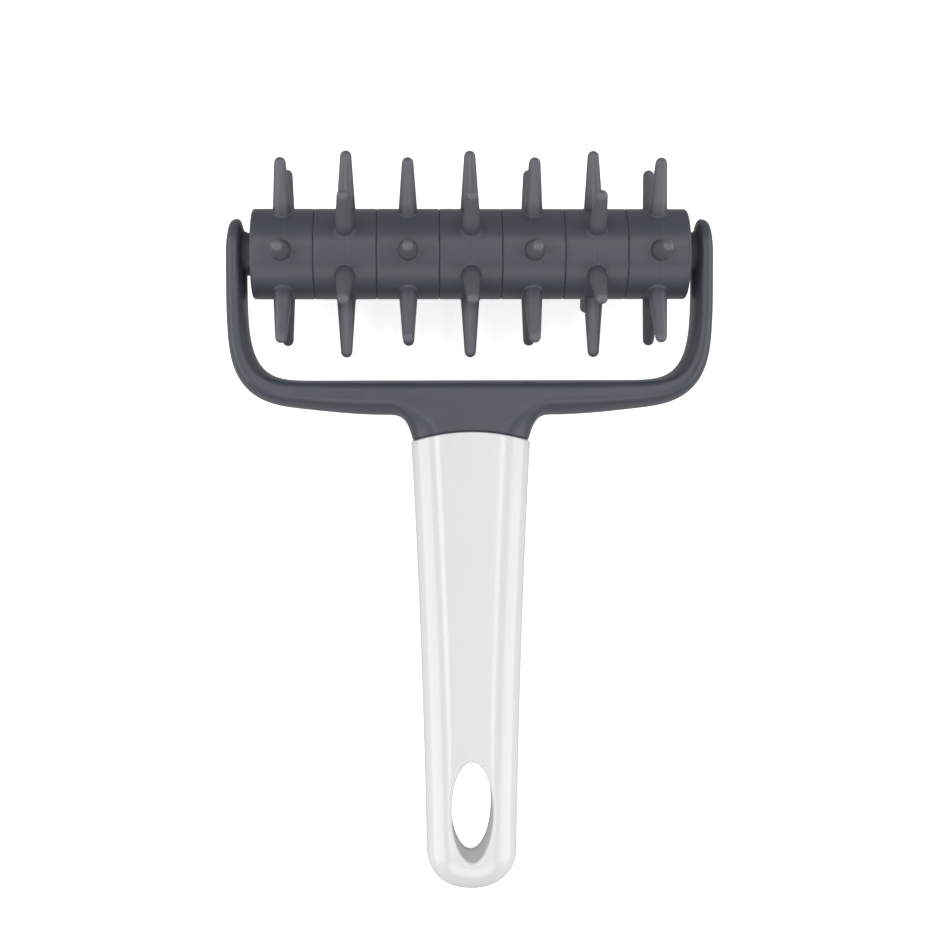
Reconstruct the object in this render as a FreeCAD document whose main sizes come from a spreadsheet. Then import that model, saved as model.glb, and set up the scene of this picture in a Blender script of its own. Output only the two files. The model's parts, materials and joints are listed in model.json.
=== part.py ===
"""Dough docker: a hand roller of seven spiked rings that pricks rolled-out dough.

The tool is drawn flat, with the roller's axis on X and the handle along -Y, and is
then laid on the table, where it rests on its spikes and on the end of its handle.
Millimetres and degrees; +Z is up, the table is at Z = 0.
"""
import FreeCAD, Part
import math
import os
import Sketcher

RING_COUNT = 7
SPIKES_PER_RING = 6
QUARTER_TURN = 90
ARM_STEPS = 4         # even steps between the yoke's sections, along each arm
CORNER_STEPS = 3      # and around each corner
THROAT_SINK = 0.55    # the neck starts this share of the crossbar's thickness up inside it,
THROAT_SPREAD = 1.3   # spread by this share of its flare
THROAT_DEPTH = 0.97   # and by this share of the arms' width from front to back
THROAT_WAIST = 0.16   # front and back draw in by this share of the flare
END_CORNER = 0.85     # rounds of the handle's end, as shares of half its width: at its corners
END_BOW = 1.35        # and across its middle
CLOSE = 0.001         # share by which a point may miss the oval it is looked for on

# Driving dimensions
SIZES = {
    # roller
    "spike_circle": 50.0,           # diameter over the spike tips
    "barrel_diameter": 22.2,        # the rings' smooth outside
    "ring_width": 15.0,
    "rim_wall": 2.4,
    "web_thickness": 3.0,
    "hub_diameter": 13.0,
    "spike_root_diameter": 4.5,
    "spike_tip_diameter": 2.8,
    "seam_chamfer": 0.35,           # broken edges where two rings meet
    "end_wall": 2.2,                # closed outer ends of the first and last ring
    "end_round": 1.8,
    # axle
    "axle_width": 8.0,              # square, so that each ring can sit a quarter turn on
    "axle_edge_round": 0.8,
    "axle_clearance": 0.1,
    "journal_diameter": 6.0,
    "journal_seat": 3.5,            # how far a journal reaches into its boss
    "journal_chamfer": 0.5,
    "running_clearance": 0.05,      # between journal and bore, on the radius
    "bore_end_gap": 0.3,
    # yoke
    "end_play": 0.3,                # roller end to boss
    "boss_diameter": 10.3,
    "boss_height": 1.6,
    "boss_flare": 1.8,
    "arm_thickness": 4.4,           # at the head
    "arm_foot_thickness": 4.9,
    "arm_width": 16.8,
    "head_rim": 0.1,                # the round head stands this much proud of the arm all round
    "arm_edge_round": 1.2,
    "arm_inner_share": 0.45,        # of the thickness, between the inside and the arm's edge
    "arm_lean": 1.1,                # the arm's foot stands this much inside its head
    "bar_clearance": 5.6,           # spike tips to crossbar
    "corner_radius": 10.2,          # inside the U
    "bar_end_thickness": 5.9,
    "bar_thickness": 8.1,
    "bar_full_span": 40.0,          # length of the crossbar's thick middle
    "bar_edge_round": 2.2,
    # joint of neck and handle
    "neck_length": 4.3,             # crossbar to the crown of the joint
    "neck_flare": 3.5,
    "neck_taper": 0.75,             # the neck narrows by this much on each side of the joint
    "neck_edge_round": 5.6,
    "joint_radius": 45.0,           # the joint line is an arch
    "joint_gap": 0.1,
    "handle_step": 0.3,             # the handle stands this much proud of the neck
    "tang_length": 38.0,
    "tang_wall": 2.2,
    "tang_clearance": 0.1,
    # handle
    "handle_length": 111.9,         # crown of the joint to the end
    "handle_top_width": 28.8,
    "handle_end_width": 22.0,
    "handle_side_hollow": 0.45,
    "handle_top_thickness": 17.8,
    "handle_end_thickness": 15.6,
    "handle_edge_round": 7.0,
    "handle_wall": 2.3,
    "mouth_round": 0.4,             # outer edge of the handle at the joint
    "hole_width": 10.1,
    "hole_length": 24.6,
    "hole_to_end": 20.0,            # hole's middle to the end of the handle
    "hole_edge_round": 0.8,
}

# Formulas that several pieces share; every name in them is a cell of the sheet
SPIKE_RADIUS = "(sizes.spike_circle / 2)"
BARREL_RADIUS = "(sizes.barrel_diameter / 2)"
RIM_INSIDE = f"({BARREL_RADIUS} - sizes.rim_wall)"
HALF_RING = "(sizes.ring_width / 2)"
HALF_ROLLER = f"({RING_COUNT} * sizes.ring_width / 2)"
BOSS_FACE = f"({HALF_ROLLER} + sizes.end_play)"
ARM_INSIDE = f"({BOSS_FACE} + sizes.boss_height)"
HALF_ARM = "(sizes.arm_width / 2)"
HEAD_RADIUS = f"({HALF_ARM} + sizes.head_rim)"
HEAD_THICKNESS = "(sizes.arm_thickness + 2 * sizes.head_rim)"
BORE_DEPTH = "(sizes.journal_seat + sizes.bore_end_gap)"
BORE_RADIUS = "(sizes.journal_diameter / 2 + sizes.running_clearance)"
SQUARE_BORE = "(sizes.axle_width / 2 + sizes.axle_clearance)"
REACH = f"({SPIKE_RADIUS} + sizes.bar_clearance)"
BAR_BOTTOM = f"({REACH} + sizes.bar_thickness)"
CROWN = f"({BAR_BOTTOM} + sizes.neck_length)"
NECK_HALF_WIDTH = "(sizes.handle_top_width / 2 - sizes.handle_step)"
NECK_HALF_DEPTH = "(sizes.handle_top_thickness / 2 - sizes.handle_step)"
HANDLE_CROWN = f"({CROWN} + sizes.joint_gap)"
HANDLE_END = f"({HANDLE_CROWN} + sizes.handle_length)"
HALF_END = "(sizes.handle_end_width / 2)"
HOLE_MIDDLE = f"({HANDLE_END} - sizes.hole_to_end)"
CAVITY_LENGTH = f"({HOLE_MIDDLE} - sizes.hole_length / 2 - sizes.handle_wall - {CROWN})"
TANG_ROOT = "(sizes.neck_length / 2)"
THINNING = "((sizes.handle_top_thickness - sizes.handle_end_thickness) / 2 / sizes.handle_length)"

# The tool rests on the round tips of its lowest spikes and on the rounded end of its
# handle, so the table is the common tangent of these two rounds
TIP_RADIUS = "(sizes.spike_tip_diameter / 2)"
TIP_OUT = f"({SPIKE_RADIUS} - {TIP_RADIUS})"
ROUND_OUT = f"({HANDLE_END} - sizes.handle_edge_round)"
ROUND_DOWN = (
    f"(sizes.handle_end_thickness / 2"
    f" + sizes.handle_edge_round * ({THINNING} - sqrt(1 + {THINNING}^2)))"
)
TILT = (
    f"(atan(({TIP_OUT} - {ROUND_DOWN}) / {ROUND_OUT}) - asin((sizes.handle_edge_round"
    f" - {TIP_RADIUS}) / sqrt({ROUND_OUT}^2 + ({TIP_OUT} - {ROUND_DOWN})^2)))"
)
AXIS_UP = f"({TIP_OUT} * cos({TILT}) + {TIP_RADIUS})"
# The origin lies under the middle of the tool's length
AXIS_FORWARD = (
    f"(({ROUND_OUT} * cos({TILT}) + {ROUND_DOWN} * sin({TILT})"
    f" + sizes.handle_edge_round - {AXIS_UP}) / 2)"
)
LAID_DOWN = f"placement(vector(0; {AXIS_FORWARD}; {AXIS_UP}); rotation(0; 0; {TILT}))"

doc = FreeCAD.newDocument("dough_docker")
sizes = doc.addObject("Spreadsheet::Sheet", "sizes")
for row, (alias, value) in enumerate(SIZES.items(), start=1):
    sizes.set(f"A{row}", alias)
    sizes.set(f"B{row}", str(value))
    sizes.setAlias(f"B{row}", alias)
doc.recompute()


def number(formula):
    """Value of a formula on the sheet's cells, as a plain number."""
    value = sizes.evalExpression(str(formula))
    return float(getattr(value, "Value", value))


def new_body(label, placement=LAID_DOWN):
    body = doc.addObject("PartDesign::Body", label)
    body.Label = label
    body.setExpression("Placement", placement)
    return body


def origin_feature(body, role):
    return next(feature for feature in body.Origin.OriginFeatures if feature.Role == role)


def new_sketch(body, name, base=("0", "0", "0"), turn=("0", "0", "0")):
    """Sketch at a base point of the body, turned by yaw, pitch and roll."""
    sketch = body.newObject("Sketcher::SketchObject", name)
    sketch.AttachmentSupport = [(origin_feature(body, "XY_Plane"), "")]
    sketch.MapMode = "FlatFace"
    sketch.setExpression(
        "AttachmentOffset",
        f"placement(vector({'; '.join(base)}); rotation({'; '.join(turn)}))",
    )
    return sketch


def bind(sketch, constraint, formula):
    """Adds a dimension to the sketch and ties it to a formula on the sheet."""
    index = sketch.addConstraint(constraint)
    sketch.setExpression(f"Constraints[{index}]", formula)


def bind_point(sketch, element, end, x, y):
    """Ties a point's place to two formulas; a zero puts it on the axis."""
    for axis, kind, formula in ((-2, "DistanceX", x), (-1, "DistanceY", y)):
        if formula == "0":
            sketch.addConstraint(Sketcher.Constraint("PointOnObject", element, end, axis))
        else:
            bind(sketch, Sketcher.Constraint(kind, element, end, number(formula)), formula)


def arc_between(start, end, radius, left):
    """Short arc from start to end, with its centre on the left or right of the way."""
    way = end - start
    rise = math.sqrt(max(radius**2 - way.Length**2 / 4, 0.0))
    across = FreeCAD.Vector(-way.y, way.x, 0).normalize()
    centre = (start + end) / 2 + across * (rise if left else -rise)
    first, last = (start, end) if left else (end, start)
    angles = [math.atan2(p.y - centre.y, p.x - centre.x) for p in (first, last)]
    circle = Part.Circle(centre, FreeCAD.Vector(0, 0, 1), radius)
    return Part.ArcOfCircle(circle, *angles)


def outline(sketch, corners):
    """Closed outline through corners (x, y) or (x, y, radius, side).

    A plain corner runs straight on to the next. With a radius, an arc bends to the
    next corner, with its centre on that side of the way, "left" or "right".
    """
    points = [FreeCAD.Vector(number(c[0]), number(c[1]), 0) for c in corners]
    ends = []
    for index, corner in enumerate(corners):
        start, end = points[index], points[(index + 1) % len(points)]
        if len(corner) == 2:
            element = sketch.addGeometry(Part.LineSegment(start, end))
            ends.append((element, 1, 2))
        else:
            left = corner[3] == "left"
            element = sketch.addGeometry(arc_between(start, end, number(corner[2]), left))
            ends.append((element, 1, 2) if left else (element, 2, 1))
    for index, (element, first, _) in enumerate(ends):
        before, _, last = ends[index - 1]
        sketch.addConstraint(Sketcher.Constraint("Coincident", before, last, element, first))
    for corner, (element, first, _) in zip(corners, ends):
        bind_point(sketch, element, first, corner[0], corner[1])
        if len(corner) > 2:
            radius = Sketcher.Constraint("Radius", element, number(corner[2]))
            bind(sketch, radius, corner[2])
    return sketch


def circle(sketch, radius):
    element = sketch.addGeometry(
        Part.Circle(FreeCAD.Vector(), FreeCAD.Vector(0, 0, 1), number(radius))
    )
    sketch.addConstraint(Sketcher.Constraint("Coincident", element, 3, -1, 1))
    bind(sketch, Sketcher.Constraint("Radius", element, number(radius)), radius)
    return sketch


def extrude(body, kind, name, sketch, length, symmetric=False, back=False):
    """Pad or Pocket of a sketch, along its normal or back against it."""
    feature = body.newObject(f"PartDesign::{kind}", name)
    feature.Profile = sketch
    feature.setExpression("Length", length)
    feature.SideType = "Symmetric" if symmetric else "One side"
    feature.Reversed = back
    doc.recompute()
    return feature


def revolve(body, name, sketch, axis="H_Axis", angle=360, back=False):
    feature = body.newObject("PartDesign::Revolution", name)
    feature.Profile = sketch
    feature.ReferenceAxis = (sketch, [axis])
    feature.Angle = angle
    feature.Reversed = back
    doc.recompute()
    return feature


def loft(body, kind, name, sections, ruled=False):
    feature = body.newObject(f"PartDesign::{kind}Loft", name)
    feature.Profile = sections[0]
    feature.Sections = sections[1:]
    feature.Ruled = ruled
    doc.recompute()
    return feature


def fillet(body, name, base, radius, chosen):
    """Rounds the edges of the base feature whose two ends and middle pass a test."""
    names = []
    for index, edge in enumerate(base.Shape.Edges, start=1):
        low, high = edge.ParameterRange
        points = [edge.valueAt(place) for place in (low, (low + high) / 2, high)]
        if chosen(points):
            names.append(f"Edge{index}")
    feature = body.newObject("PartDesign::Fillet", name)
    feature.Base = (base, names)
    feature.setExpression("Radius", radius)
    doc.recompute()
    return feature


def rounded_rectangle(body, name, down, half_width, half_depth, radius):
    """Level section of neck, tang or cavity, at a distance down the handle."""
    sketch = new_sketch(body, name, ("0", f"-{down}", "0"), ("0", "0", "90"))
    across, deep = f"({half_width} - {radius})", f"({half_depth} - {radius})"
    return outline(sketch, [
        (f"-{across}", f"-{half_depth}"),
        (across, f"-{half_depth}", radius, "left"),
        (half_width, f"-{deep}"),
        (half_width, deep, radius, "left"),
        (across, half_depth),
        (f"-{across}", half_depth, radius, "left"),
        (f"-{half_width}", deep),
        (f"-{half_width}", f"-{deep}", radius, "left"),
    ])


def spiked_ring(label, position, end_side=0):
    """One ring of the roller; end_side is -1 or 1 on the closed outer rings."""
    turn = QUARTER_TURN * (position - 1)
    along = f"({position} - {(RING_COUNT + 1) / 2}) * sizes.ring_width"
    facing, side = (180, "-") if end_side < 0 else (0, "+")
    body = new_body(
        label,
        f"placement(vector({along}; {AXIS_FORWARD}; {AXIS_UP});"
        f" rotation({facing}; 0; {turn} * 1deg {side} {TILT}))",
    )
    hub = "(sizes.hub_diameter / 2)"
    chamfer = "sizes.seam_chamfer"
    inner_edge = [
        (f"-{HALF_RING}", f"{BARREL_RADIUS} - {chamfer}"),
        (f"-{HALF_RING} + {chamfer}", BARREL_RADIUS),
    ]
    if end_side:
        floor = f"({HALF_RING} - sizes.end_wall)"
        section = inner_edge + [
            (f"{HALF_RING} - sizes.end_round", BARREL_RADIUS, "sizes.end_round", "right"),
            (HALF_RING, f"{BARREL_RADIUS} - sizes.end_round"),
            (HALF_RING, "0"),
            (f"-{HALF_RING}", "0"),
            (f"-{HALF_RING}", hub),
            (floor, hub),
            (floor, RIM_INSIDE),
            (f"-{HALF_RING}", RIM_INSIDE),
        ]
        bore_length = "sizes.ring_width - sizes.end_wall"
    else:
        half_web = "(sizes.web_thickness / 2)"
        section = inner_edge + [
            (f"{HALF_RING} - {chamfer}", BARREL_RADIUS),
            (HALF_RING, f"{BARREL_RADIUS} - {chamfer}"),
            (HALF_RING, RIM_INSIDE),
            (half_web, RIM_INSIDE),
            (half_web, hub),
            (HALF_RING, hub),
            (HALF_RING, "0"),
            (f"-{HALF_RING}", "0"),
            (f"-{HALF_RING}", hub),
            (f"-{half_web}", hub),
            (f"-{half_web}", RIM_INSIDE),
            (f"-{HALF_RING}", RIM_INSIDE),
        ]
        bore_length = "sizes.ring_width"
    revolve(body, f"{label}_barrel", outline(new_sketch(body, f"{label}_section"), section))

    # A tapered spike with a round tip, repeated around the barrel
    root = "(sizes.spike_root_diameter / 2)"
    inside = f"({BARREL_RADIUS} - sizes.rim_wall / 2)"
    spike_sketch = new_sketch(body, f"{label}_spike_section", turn=("0", "0", "90"))
    outline(spike_sketch, [
        ("0", inside),
        (root, inside),
        (TIP_RADIUS, TIP_OUT, TIP_RADIUS, "left"),
        ("0", SPIKE_RADIUS),
    ])
    spike = revolve(body, f"{label}_spike", spike_sketch, "V_Axis")
    spikes = body.newObject("PartDesign::PolarPattern", f"{label}_spikes")
    spikes.Originals = [spike]
    spikes.Axis = (origin_feature(body, "X_Axis"), [""])
    spikes.Angle = 360
    spikes.Occurrences = SPIKES_PER_RING
    body.Tip = spikes
    doc.recompute()

    # Square bore for the axle, and the journal's hole through a closed end
    square = new_sketch(body, f"{label}_square", (f"-{HALF_RING}", "0", "0"), ("90", "0", "90"))
    outline(square, [
        (f"-{SQUARE_BORE}", f"-{SQUARE_BORE}"),
        (SQUARE_BORE, f"-{SQUARE_BORE}"),
        (SQUARE_BORE, SQUARE_BORE),
        (f"-{SQUARE_BORE}", SQUARE_BORE),
    ])
    extrude(body, "Pocket", f"{label}_bore", square, bore_length, back=True)
    if end_side:
        hole = new_sketch(body, f"{label}_hole", (f"-{HALF_RING}", "0", "0"), ("90", "0", "90"))
        circle(hole, "sizes.journal_diameter / 2 + sizes.axle_clearance")
        extrude(body, "Pocket", f"{label}_journal_hole", hole, "sizes.ring_width", back=True)
    return body


def axle():
    """Square shaft through all the rings, with a round journal at each end."""
    body = new_body("axle")
    half, edge = "(sizes.axle_width / 2)", "sizes.axle_edge_round"
    flat = f"({half} - {edge})"
    square = new_sketch(body, "axle_square", turn=("90", "0", "90"))
    outline(square, [
        (f"-{flat}", f"-{half}"),
        (flat, f"-{half}", edge, "left"),
        (half, f"-{flat}"),
        (half, flat, edge, "left"),
        (flat, half),
        (f"-{flat}", half, edge, "left"),
        (f"-{half}", flat),
        (f"-{half}", f"-{flat}", edge, "left"),
    ])
    length = f"2 * ({HALF_ROLLER} - sizes.end_wall - sizes.axle_clearance)"
    extrude(body, "Pad", "axle_shaft", square, length, symmetric=True)
    radius, chamfer = "(sizes.journal_diameter / 2)", "sizes.journal_chamfer"
    tip = f"({BOSS_FACE} + sizes.journal_seat)"
    journals = outline(new_sketch(body, "axle_journal_section"), [
        (f"-{tip}", "0"),
        (tip, "0"),
        (tip, f"{radius} - {chamfer}"),
        (f"{tip} - {chamfer}", radius),
        (f"-{tip} + {chamfer}", radius),
        (f"-{tip}", f"{radius} - {chamfer}"),
    ])
    revolve(body, "axle_journals", journals)
    return body


def arm_domes(thickness, edge, half_width):
    """Circles of an arm's section: inner dome, outer dome and the round of its upper edge.

    Each dome is the circle through its crown, on the X axis, that runs into both edge
    rounds; with it comes the angle, about its centre, where it meets the upper one.
    """
    nose, thick = number(edge), number(thickness)
    middle = thick * number("sizes.arm_inner_share")
    up = number(half_width) - nose
    normal = FreeCAD.Vector(0, 0, 1)
    upper = Part.Circle(FreeCAD.Vector(middle, up, 0), normal, nose)
    domes = []
    for crown, way in ((0, -1), (thick, 1)):
        bulge = abs(crown - middle)
        radius = (bulge**2 + up**2 - nose**2) / (2 * (bulge - nose))
        dome = Part.Circle(FreeCAD.Vector(crown - way * radius, 0, 0), normal, radius)
        domes.append((dome, math.atan2(up, middle - dome.Center.x)))
    return *domes, upper


def arm_section(body, name, inside, turn, thickness, edge):
    """Section of the yoke: a lens, fuller outside than inside, with rounded edges.

    Its inside point lies on the sketch's origin, and outwards is along its X axis.
    """
    sketch = new_sketch(body, name, (*inside, "0"), (turn, "0", "90"))
    (inner, inner_meet), (outer, outer_meet), upper = arm_domes(thickness, edge, HALF_ARM)
    below = FreeCAD.Vector(upper.Center.x, -upper.Center.y, 0)
    lower = Part.Circle(below, FreeCAD.Vector(0, 0, 1), upper.Radius)
    whole_turn = 2 * math.pi
    inner_up, top, outer_up, outer_down, bottom, inner_down = sketch.addGeometry([
        Part.ArcOfCircle(inner, inner_meet, math.pi),
        Part.ArcOfCircle(upper, outer_meet, inner_meet),
        Part.ArcOfCircle(outer, 0, outer_meet),
        Part.ArcOfCircle(outer, -outer_meet, 0),
        Part.ArcOfCircle(lower, whole_turn - inner_meet, whole_turn - outer_meet),
        Part.ArcOfCircle(inner, math.pi, whole_turn - inner_meet),
    ])
    start, end, centre = 1, 2, 3
    for first, first_end, second, second_end in (
        (inner_up, start, top, end),
        (top, start, outer_up, end),
        (outer_down, start, bottom, end),
        (bottom, start, inner_down, end),
    ):
        sketch.addConstraint(
            Sketcher.Constraint("Tangent", first, first_end, second, second_end)
        )
    for first, first_end, second, second_end in (
        (outer_up, start, outer_down, end),
        (outer_up, centre, outer_down, centre),
        (inner_up, end, inner_down, start),
        (inner_up, centre, inner_down, centre),
        (inner_up, end, -1, 1),
    ):
        sketch.addConstraint(
            Sketcher.Constraint("Coincident", first, first_end, second, second_end)
        )
    bind_point(sketch, outer_up, start, thickness, "0")
    for element, side in ((top, ""), (bottom, "-")):
        bind(sketch, Sketcher.Constraint("Radius", element, upper.Radius), edge)
        place = (f"({thickness} * sizes.arm_inner_share)", f"{side}({HALF_ARM} - {edge})")
        bind_point(sketch, element, centre, *place)
    return sketch


def arm_head_section(body):
    """Upper half of the head's section, a lens like the arm's, closed along the axle's line."""
    sketch = new_sketch(body, "arm_head_section", (ARM_INSIDE, "0", "0"), ("0", "0", "90"))
    thickness, edge = HEAD_THICKNESS, "sizes.arm_edge_round"
    (inner, inner_meet), (outer, outer_meet), upper = arm_domes(thickness, edge, HEAD_RADIUS)
    outside = FreeCAD.Vector(number(thickness), 0, 0)
    inner_up, top, outer_up, base = sketch.addGeometry([
        Part.ArcOfCircle(inner, inner_meet, math.pi),
        Part.ArcOfCircle(upper, outer_meet, inner_meet),
        Part.ArcOfCircle(outer, 0, outer_meet),
        Part.LineSegment(outside, FreeCAD.Vector()),
    ])
    start, end, centre = 1, 2, 3
    for constraint in (
        Sketcher.Constraint("Tangent", inner_up, start, top, end),
        Sketcher.Constraint("Tangent", top, start, outer_up, end),
        Sketcher.Constraint("Coincident", outer_up, start, base, start),
        Sketcher.Constraint("Coincident", base, end, inner_up, end),
        Sketcher.Constraint("Coincident", inner_up, end, -1, 1),
        Sketcher.Constraint("PointOnObject", inner_up, centre, -1),
        Sketcher.Constraint("PointOnObject", outer_up, centre, -1),
    ):
        sketch.addConstraint(constraint)
    bind_point(sketch, base, start, thickness, "0")
    bind(sketch, Sketcher.Constraint("Radius", top, upper.Radius), edge)
    place = (f"({thickness} * sizes.arm_inner_share)", f"({HEAD_RADIUS} - {edge})")
    bind_point(sketch, top, centre, *place)
    return sketch


def yoke_sections(body):
    """Sections from the right arm's head round the U to the left arm's head."""
    foot_y = f"({REACH} - sizes.corner_radius)"
    arm_x = f"({ARM_INSIDE} + sizes.head_rim)"
    corner_x = f"({arm_x} - sizes.arm_lean - sizes.corner_radius)"
    thin, foot = "sizes.arm_thickness", "sizes.arm_foot_thickness"
    edge, bar_edge = "sizes.arm_edge_round", "sizes.bar_edge_round"
    half = []
    for step in range(ARM_STEPS):
        share = step / ARM_STEPS
        half.append((
            f"({arm_x} - sizes.arm_lean * {share**2})",
            f"({foot_y} * {share})",
            0,
            f"({thin} + ({foot} - {thin}) * {share})",
            edge,
        ))
    for step in range(CORNER_STEPS + 1):
        share = step / CORNER_STEPS
        angle = QUARTER_TURN * share
        half.append((
            f"({corner_x} + sizes.corner_radius * cos({angle} * 1deg))",
            f"({foot_y} + sizes.corner_radius * sin({angle} * 1deg))",
            angle,
            f"({foot} + (sizes.bar_end_thickness - {foot}) * {share})",
            f"({edge} + ({bar_edge} - {edge}) * {share})",
        ))
    bar = (REACH, QUARTER_TURN, "sizes.bar_thickness", bar_edge)
    half.append(("(sizes.bar_full_span / 2)", *bar))
    mirrored = [
        (f"-{x}", down, 2 * QUARTER_TURN - angle, *section) for x, down, angle, *section in half[::-1]
    ]
    stations = half + [("0", *bar)] + mirrored
    return [
        arm_section(body, f"yoke_section_{index}", (x, f"-{down}"), f"{-angle}", *section)
        for index, (x, down, angle, *section) in enumerate(stations, start=1)
    ]


def yoke():
    """Arms, crossbar, neck and tang in one moulding, with a bearing boss on each arm."""
    body = new_body("yoke")
    loft(body, "Additive", "yoke_bow", yoke_sections(body))

    # Round head of the arm: the arm's own kind of section, turned about the axle
    head = revolve(body, "arm_head", arm_head_section(body))

    # Boss that carries the axle, flared where it stands on the arm
    boss_radius, flare = "(sizes.boss_diameter / 2)", "sizes.boss_flare"
    sunk = "(sizes.arm_thickness / 4)"
    edge, middle = "sizes.arm_edge_round", f"({HEAD_THICKNESS} * sizes.arm_inner_share)"
    dome = f"(({middle}^2 + ({HEAD_RADIUS} - {edge})^2 - {edge}^2) / (2 * ({middle} - {edge})))"
    flare_foot = f"({dome} - sqrt({dome}^2 - ({boss_radius} + {flare})^2))"
    boss_sketch = new_sketch(body, "boss_section", (ARM_INSIDE, "0", "0"))
    outline(boss_sketch, [
        ("-sizes.boss_height", "0"),
        (sunk, "0"),
        (sunk, f"{boss_radius} + {flare}"),
        (flare_foot, f"{boss_radius} + {flare}", flare, "right"),
        (f"{flare_foot} - {flare}", boss_radius),
        ("-sizes.boss_height", boss_radius),
    ])
    boss = revolve(body, "boss", boss_sketch)
    bore_sketch = new_sketch(body, "bearing_circle", (BOSS_FACE, "0", "0"), ("90", "0", "90"))
    circle(bore_sketch, BORE_RADIUS)
    bore = extrude(body, "Pocket", "bearing_bore", bore_sketch, BORE_DEPTH, back=True)
    both = body.newObject("PartDesign::Mirrored", "other_arm")
    both.Originals = [head, boss, bore]
    both.MirrorPlane = (origin_feature(body, "YZ_Plane"), [""])
    body.Tip = both
    doc.recompute()

    # Neck: a flared throat below the crossbar, as wide as the handle at its foot
    flare = "sizes.neck_flare"
    throat = [(
        f"({BAR_BOTTOM} - {THROAT_SINK} * sizes.bar_thickness)",
        f"({NECK_HALF_WIDTH} + {THROAT_SPREAD} * {flare})",
        f"({THROAT_DEPTH} * {HALF_ARM})",
    )]
    for angle in (60, 30, 0):
        throat.append((
            f"({BAR_BOTTOM} + {flare} * (1 - sin({angle} * 1deg)))",
            f"({NECK_HALF_WIDTH} + sizes.neck_taper + {flare} * (1 - cos({angle} * 1deg)))",
            f"({NECK_HALF_DEPTH} - {THROAT_WAIST} * {flare} * (1 - cos({angle} * 1deg)))",
        ))
    spring = f"({CROWN} + sizes.joint_radius - sqrt(sizes.joint_radius^2 - {NECK_HALF_WIDTH}^2))"
    below = f"(2 * {spring} - {BAR_BOTTOM} - {flare})"
    throat.append((spring, NECK_HALF_WIDTH, NECK_HALF_DEPTH))
    throat.append((below, f"({NECK_HALF_WIDTH} - sizes.neck_taper)", NECK_HALF_DEPTH))
    loft(body, "Additive", "neck", [
        rounded_rectangle(body, f"neck_section_{index}", down, wide, deep, "sizes.neck_edge_round")
        for index, (down, wide, deep) in enumerate(throat, start=1)
    ])
    arch = outline(new_sketch(body, "joint_arch"), arch_corners(CROWN, f"(2 * {NECK_HALF_WIDTH})"))
    extrude(body, "Pocket", "joint_face", arch, "2 * sizes.handle_top_thickness", symmetric=True)

    # Hollow tang that plugs into the handle
    tang = [
        cavity_section(body, f"tang_section_{index}", down, "sizes.tang_clearance")
        for index, down in enumerate((f"-{TANG_ROOT}", "sizes.tang_length"), start=1)
    ]
    loft(body, "Additive", "tang", tang, ruled=True)
    core = cavity_section(
        body, "tang_core_section", "sizes.tang_length", "(sizes.tang_clearance + sizes.tang_wall)"
    )
    extrude(body, "Pocket", "tang_core", core, "sizes.tang_length - sizes.tang_wall")
    return body


def arch_corners(crown, half_span):
    """Outline of all that lies below the joint's arch, whose crown is that far down."""
    spring = f"({crown} + sizes.joint_radius - sqrt(sizes.joint_radius^2 - {half_span}^2))"
    below = f"({HANDLE_END} + sizes.handle_length)"
    return [
        (f"-{half_span}", f"-{spring}", "sizes.joint_radius", "right"),
        (half_span, f"-{spring}"),
        (half_span, f"-{below}"),
        (f"-{half_span}", f"-{below}"),
    ]


def cavity_section(body, name, down, inset):
    """Level section of the handle's hollow, narrowed by an inset all round.

    The hollow narrows evenly from the joint's crown to its blind end; down is measured
    from the crown.
    """
    wall = f"(sizes.handle_wall + {inset})"
    share = f"({down} / {CAVITY_LENGTH})"

    def inside(top, end):
        return f"(({top} + ({end} - {top}) * {share}) / 2 - {wall})"

    return rounded_rectangle(
        body,
        name,
        f"({CROWN} + {down})",
        inside("sizes.handle_top_width", "sizes.handle_end_width"),
        inside("sizes.handle_top_thickness", "sizes.handle_end_thickness"),
        f"(sizes.handle_edge_round - {wall})",
    )


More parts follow.
